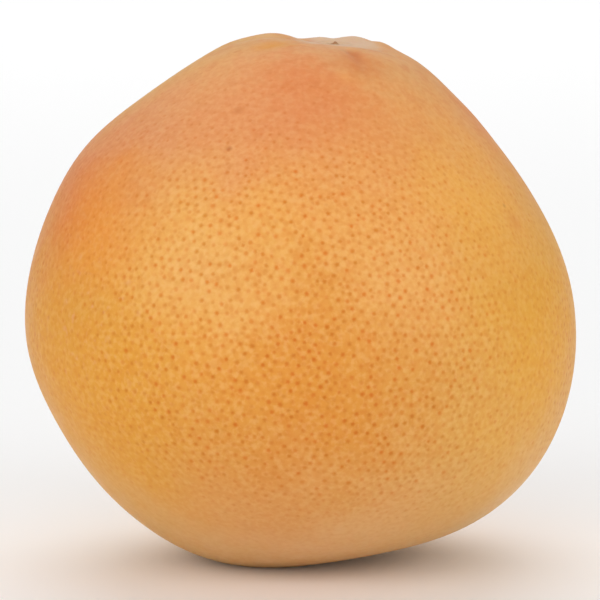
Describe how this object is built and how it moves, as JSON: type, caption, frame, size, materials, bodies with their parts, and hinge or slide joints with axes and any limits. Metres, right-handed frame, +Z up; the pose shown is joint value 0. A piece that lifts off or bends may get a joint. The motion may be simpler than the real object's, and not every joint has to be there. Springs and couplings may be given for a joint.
{
  "type": "grapefruit",
  "caption": "Whole picked grapefruit with pitted peel, a flattened furrowed stem end and an uneven, slightly leaning shape, resting on a small flat.",
  "frame": {"origin": "middle of the fruit's footprint box, on the surface that it rests on", "axes": "+Z up; the core leans 7 degrees from +Z towards +X, so the stem end is up and to +X; -Y faces the viewer"},
  "size_m": [0.1152, 0.1132, 0.1102],
  "materials": {
    "peel": null
  },
  "bodies": {
    "root": {"grapefruit": "peel"}
  },
  "joints": []
}
